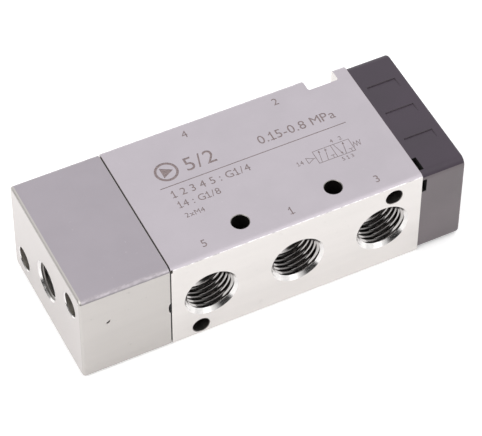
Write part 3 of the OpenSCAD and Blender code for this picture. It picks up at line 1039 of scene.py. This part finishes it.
def make_screw(node, way):
    """Socket head cap screw: knurled head, hexagon socket and a rolled thread. It points along
    X, the way that way says."""
    low, high = box_mm(node)
    length = high.x - low.x
    head_r, head_len, shank_r, core_r = 2.75, 3.0, 1.5, 1.24
    thread_len, run_out, rows_per_turn, sides = 10.0, 0.6, 6, 72
    knurls, knurl_deep = 36, 0.06
    first = length - thread_len

    def knurled(angle):
        return head_r - knurl_deep * (0.5 + 0.5 * math.cos(knurls * angle))

    def thread(distance):
        def radius(angle):
            phase = 2 * math.pi * distance / SCREW_THREAD_PITCH - angle
            return core_r + (shank_r - core_r) * (0.5 + 0.5 * math.sin(phase))
        return radius

    stations = [(0, head_r - 0.3), (0.3, head_r - 0.02), (0.35, knurled),
                (head_len - 0.15, knurled), (head_len, head_r - 0.12),
                (head_len + 0.01, shank_r), (first, shank_r)]
    rows = int(thread_len / SCREW_THREAD_PITCH * rows_per_turn)
    for i in range(1, rows):
        distance = first + (thread_len - run_out) * i / rows
        stations.append((distance, thread(distance)))
    stations += [(length - 0.4, core_r), (length, core_r - 0.35)]
    axis = X_AXIS * way
    origin = Vector((low.x if way > 0 else high.x, (low.y + high.y) / 2, (low.z + high.z) / 2))
    screw = turned(node + "_detail", stations, origin, axis, sides)
    socket_r, socket_deep, point_deep = 1.44, 1.6, 2.2
    socket = [(-PAST, socket_r), (socket_deep, socket_r), (point_deep, 0.1)]
    combine(screw, turned("socket", socket, origin, axis, 6))
    coat(screw, BLACK_STEEL)
    return to_scene(screw, "housing", [node], smooth_deg=40)


# ------------------------------------------------------------------- studio

def area_light(name, place, power, size=1.4):
    """Square soft light in metres and watts, aimed at the valve's foot."""
    light = bpy.data.lights.new(name, "AREA")
    light.size = size
    light.energy = power
    holder = bpy.data.objects.new(name, light)
    holder.location = place
    holder.rotation_euler = (-Vector(place)).to_track_quat("-Z", "Y").to_euler()
    bpy.context.scene.collection.objects.link(holder)


def make_studio():
    """Pale floor that glows a little, so that its shadow stays faint, the surround and two soft
    lights."""
    half, thick = 1.5 / MM, 10
    floor = brick("studio_floor", (-half, -half, -thick), (half, half, 0))
    look = Shader("pale_floor", Metallic=0.0, Roughness=0.9, Emission_Strength=0.3)
    pale = look.colours(look.noise(3, detail=1), (0.9, 0.9, 0.9), (0.91, 0.91, 0.91))
    look.set(Base_Color=pale, Emission_Color=pale)
    coat(floor, look.material)
    floor.data.transform(Matrix.Scale(MM, 4))

    bpy.context.scene.world = soft_tent()
    area_light("key_light", (-1.3, -0.3, 1.2), power=12.0)
    area_light("fill_light", (0.9, -0.9, 1.3), power=5.0)
    bpy.context.scene.view_settings.view_transform = "Standard"


def soft_tent():
    """White tent overhead and behind, which fades to a dark room in front. Its ramp runs from
    straight away from its brightest direction to straight along it."""
    brightest = (0.45, 0.40, 0.80)
    dark, bright, overhead = (0.015,) * 3, (0.80,) * 3, (0.86,) * 3
    world = bpy.data.worlds.new("studio")
    world.use_nodes = True
    tree = world.node_tree
    sky = tree.nodes["Background"]
    sky.inputs["Strength"].default_value = 1.35
    place = tree.nodes.new("ShaderNodeTexCoord")
    tilt = tree.nodes.new("ShaderNodeVectorMath")
    tilt.operation = "DOT_PRODUCT"
    tilt.inputs[1].default_value = brightest
    spread = tree.nodes.new("ShaderNodeMapRange")
    spread.inputs["From Min"].default_value = -1.0
    fade = tree.nodes.new("ShaderNodeValToRGB")
    ramp = fade.color_ramp
    ramp.interpolation = "EASE"
    ramp.elements[0].position = 0.47
    ramp.elements[0].color = (*dark, 1)
    ramp.elements[1].position = 0.62
    ramp.elements[1].color = (*bright, 1)
    ramp.elements.new(1.0).color = (*overhead, 1)
    tree.links.new(place.outputs["Generated"], tilt.inputs[0])
    tree.links.new(tilt.outputs["Value"], spread.inputs["Value"])
    tree.links.new(spread.outputs["Result"], fade.inputs["Fac"])
    tree.links.new(fade.outputs["Color"], sky.inputs["Color"])
    return world


def make_camera():
    """Long lens looking down on the front left of the valve."""
    azimuth, elevation, roll = math.radians(-26.64), math.radians(49.32), math.radians(0.42)
    distance_m = 0.6312
    target = Vector((-0.0006, -0.0025, (MID_Z + 0.1) * MM))
    level = Vector((math.sin(azimuth), -math.cos(azimuth), 0))
    away = level * math.cos(elevation) + Vector((0, 0, math.sin(elevation)))
    camera = bpy.data.cameras.new("camera")
    camera.lens = 200.0
    camera.sensor_width = 36
    holder = bpy.data.objects.new("camera", camera)
    turn = (-away).to_track_quat("-Z", "Y").to_matrix() @ Matrix.Rotation(roll, 3, "Z")
    holder.matrix_world = Matrix.Translation(target + away * distance_m) @ turn.to_4x4()
    bpy.context.scene.collection.objects.link(holder)
    bpy.context.scene.camera = holder


def dress_cad_nodes():
    """Materials for the CAD pieces whose shape stays as it is."""
    looks = {"pilot_gasket": NITRILE, "piston_seal": NITRILE, "piston_bumper": GREY_RUBBER,
             "piston_guide_ring": GUIDE, "spring_seat": BRASS}
    for i in range(1, 7):
        looks[f"spool_seal_{i}"] = NITRILE
    for end in ("pilot", "spring"):
        for side in ("front", "back"):
            looks[f"{end}_cap_washer_{side}"] = BLACK_STEEL
    for name, look in looks.items():
        coat(frame["nodes"][name], look)


make_camera()
make_studio()
make_body()
make_pilot_cap()
make_spring_cap()
make_spool()
make_piston()
make_spring()
for end, way in (("pilot", 1), ("spring", -1)):
    for side in ("front", "back"):
        make_screw(f"{end}_cap_screw_{side}", way)
dress_cad_nodes()
